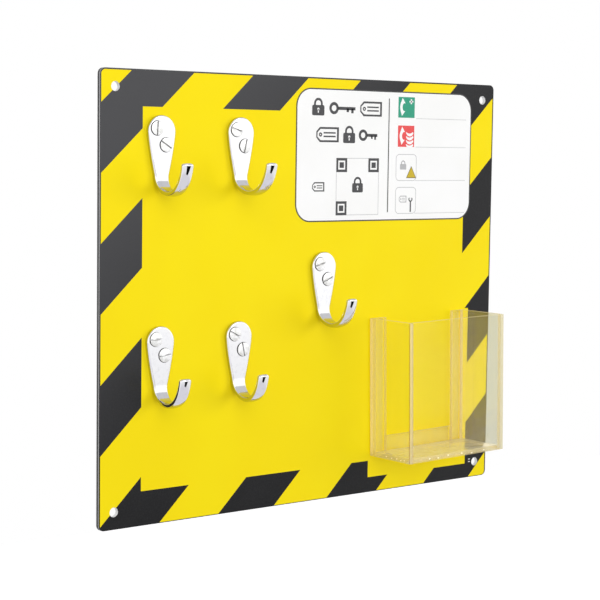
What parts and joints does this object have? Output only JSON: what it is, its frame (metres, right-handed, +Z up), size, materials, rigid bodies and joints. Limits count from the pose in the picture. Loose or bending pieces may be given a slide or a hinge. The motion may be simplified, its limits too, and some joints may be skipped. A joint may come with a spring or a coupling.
{
  "type": "lockout station board",
  "caption": "Wall board with a black and yellow hazard border, chromed hooks for hanging lockout gear, a blank header label and a clear open-topped pocket.",
  "frame": {"origin": "centre of the board's back face, where it faces the wall (mount wall_fixing)", "axes": "+X to the right across the board as seen from the front, +Y into the wall, +Z up"},
  "size_m": [0.35, 0.0533, 0.3],
  "materials": {
    "core": "matt black, sawn edge",
    "skin": "mill finish",
    "film": "satin printed film, yellow with black diagonal stripes round the border",
    "label": "satin white label",
    "chrome": "bright plated",
    "zinc": "zinc plated",
    "acrylic": "clear sheet with polished faces and sawn edges",
    "tape": "milky clear foam tape"
  },
  "bodies": {
    "root": {"back_skin": "skin", "board_core": "core", "front_skin": "skin", "printed_film": "film", "header_label": "label", "upper_left_hook": "chrome", "upper_middle_hook": "chrome", "centre_hook": "chrome", "lower_left_hook": "chrome", "lower_middle_hook": "chrome", "upper_left_hook_upper_screw": "chrome", "upper_left_hook_lower_screw": "chrome", "upper_middle_hook_upper_screw": "chrome", "upper_middle_hook_lower_screw": "chrome", "centre_hook_upper_screw": "chrome", "centre_hook_lower_screw": "chrome", "lower_left_hook_upper_screw": "chrome", "lower_left_hook_lower_screw": "chrome", "lower_middle_hook_upper_screw": "chrome", "lower_middle_hook_lower_screw": "chrome", "upper_left_hook_upper_washer": "zinc", "upper_left_hook_lower_washer": "zinc", "upper_middle_hook_upper_washer": "zinc", "upper_middle_hook_lower_washer": "zinc", "centre_hook_upper_washer": "zinc", "centre_hook_lower_washer": "zinc", "lower_left_hook_upper_washer": "zinc", "lower_left_hook_lower_washer": "zinc", "lower_middle_hook_upper_washer": "zinc", "lower_middle_hook_lower_washer": "zinc", "upper_left_hook_upper_nut": "zinc", "upper_left_hook_lower_nut": "zinc", "upper_middle_hook_upper_nut": "zinc", "upper_middle_hook_lower_nut": "zinc", "centre_hook_upper_nut": "zinc", "centre_hook_lower_nut": "zinc", "lower_left_hook_upper_nut": "zinc", "lower_left_hook_lower_nut": "zinc", "lower_middle_hook_upper_nut": "zinc", "lower_middle_hook_lower_nut": "zinc", "pocket_left_side": "acrylic", "pocket_right_side": "acrylic", "pocket_base": "acrylic", "pocket_front": "acrylic", "pocket_left_strip": "acrylic", "pocket_right_strip": "acrylic", "pocket_lower_strip": "acrylic", "pocket_left_tape": "tape", "pocket_right_tape": "tape", "pocket_lower_tape": "tape"}
  },
  "joints": []
}
